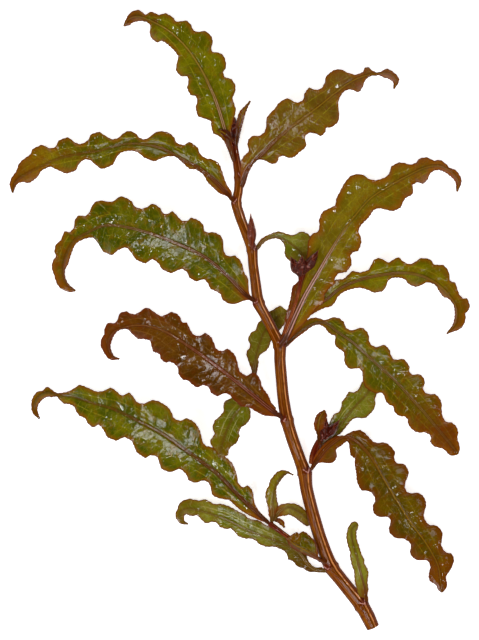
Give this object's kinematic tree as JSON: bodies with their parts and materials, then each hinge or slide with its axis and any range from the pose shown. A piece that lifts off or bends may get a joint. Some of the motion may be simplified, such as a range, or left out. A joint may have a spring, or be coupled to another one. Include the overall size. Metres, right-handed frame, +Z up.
{
  "type": "curly-leaf pondweed shoot",
  "caption": "Cut shoot of curly-leaf pondweed lying down: a bent flattened stem with ruffled wavy leaves, short side shoots and closed buds.",
  "frame": {"origin": "on the surface that the shoot lies on, under the middle of its bounding box", "axes": "+Y from the cut end of the stem towards its tip, +X to the right as seen from above, +Z up from the surface"},
  "size_m": [0.1153, 0.1556, 0.0164],
  "materials": {
    "stem": "wet orange-brown stem with darker red-brown edges and a light streak along it",
    "olive_leaf": "wet translucent olive-green blade with fine cross-veins and an orange-brown margin",
    "green_leaf": "wet translucent deep green blade with fine cross-veins and an orange-brown margin",
    "red_leaf": "wet translucent red-brown blade with fine cross-veins and a darker margin",
    "pale_leaf": "wet pale grey-green blade with soft reflections",
    "bud": "wet dark maroon bud scales"
  },
  "bodies": {
    "root": {"main_stem": "stem", "left_side_shoot": "stem", "rear_side_shoot": "stem", "upper_right_shoot": "stem", "lower_right_shoot": "stem", "left_leaf_1": "olive_leaf", "left_leaf_2": "olive_leaf", "left_leaf_3": "green_leaf", "left_leaf_4": "red_leaf", "left_leaf_5": "green_leaf", "left_leaf_6": "pale_leaf", "right_leaf_1": "olive_leaf", "right_leaf_2": "olive_leaf", "right_leaf_3": "olive_leaf", "right_leaf_4": "olive_leaf", "right_leaf_5": "green_leaf", "right_leaf_6": "pale_leaf", "small_leaf_upper_right": "pale_leaf", "upper_shoot_leaf": "red_leaf", "rear_shoot_leaf_up": "pale_leaf", "rear_shoot_leaf_down": "pale_leaf", "lower_shoot_leaf": "pale_leaf", "left_shoot_sheath_leaf": "pale_leaf", "left_shoot_leaf_hooked": "pale_leaf", "left_shoot_leaf_arched": "pale_leaf", "left_shoot_leaf_small": "pale_leaf", "tip_young_leaf": "red_leaf", "tip_bract": "bud", "lower_shoot_young_leaf": "pale_leaf", "tip_bud": "bud", "side_bud": "bud", "upper_shoot_bud_left": "bud", "upper_shoot_bud_middle": "bud", "upper_shoot_bud_right": "bud", "lower_shoot_bud_left": "bud", "lower_shoot_bud_right": "bud"}
  },
  "joints": []
}
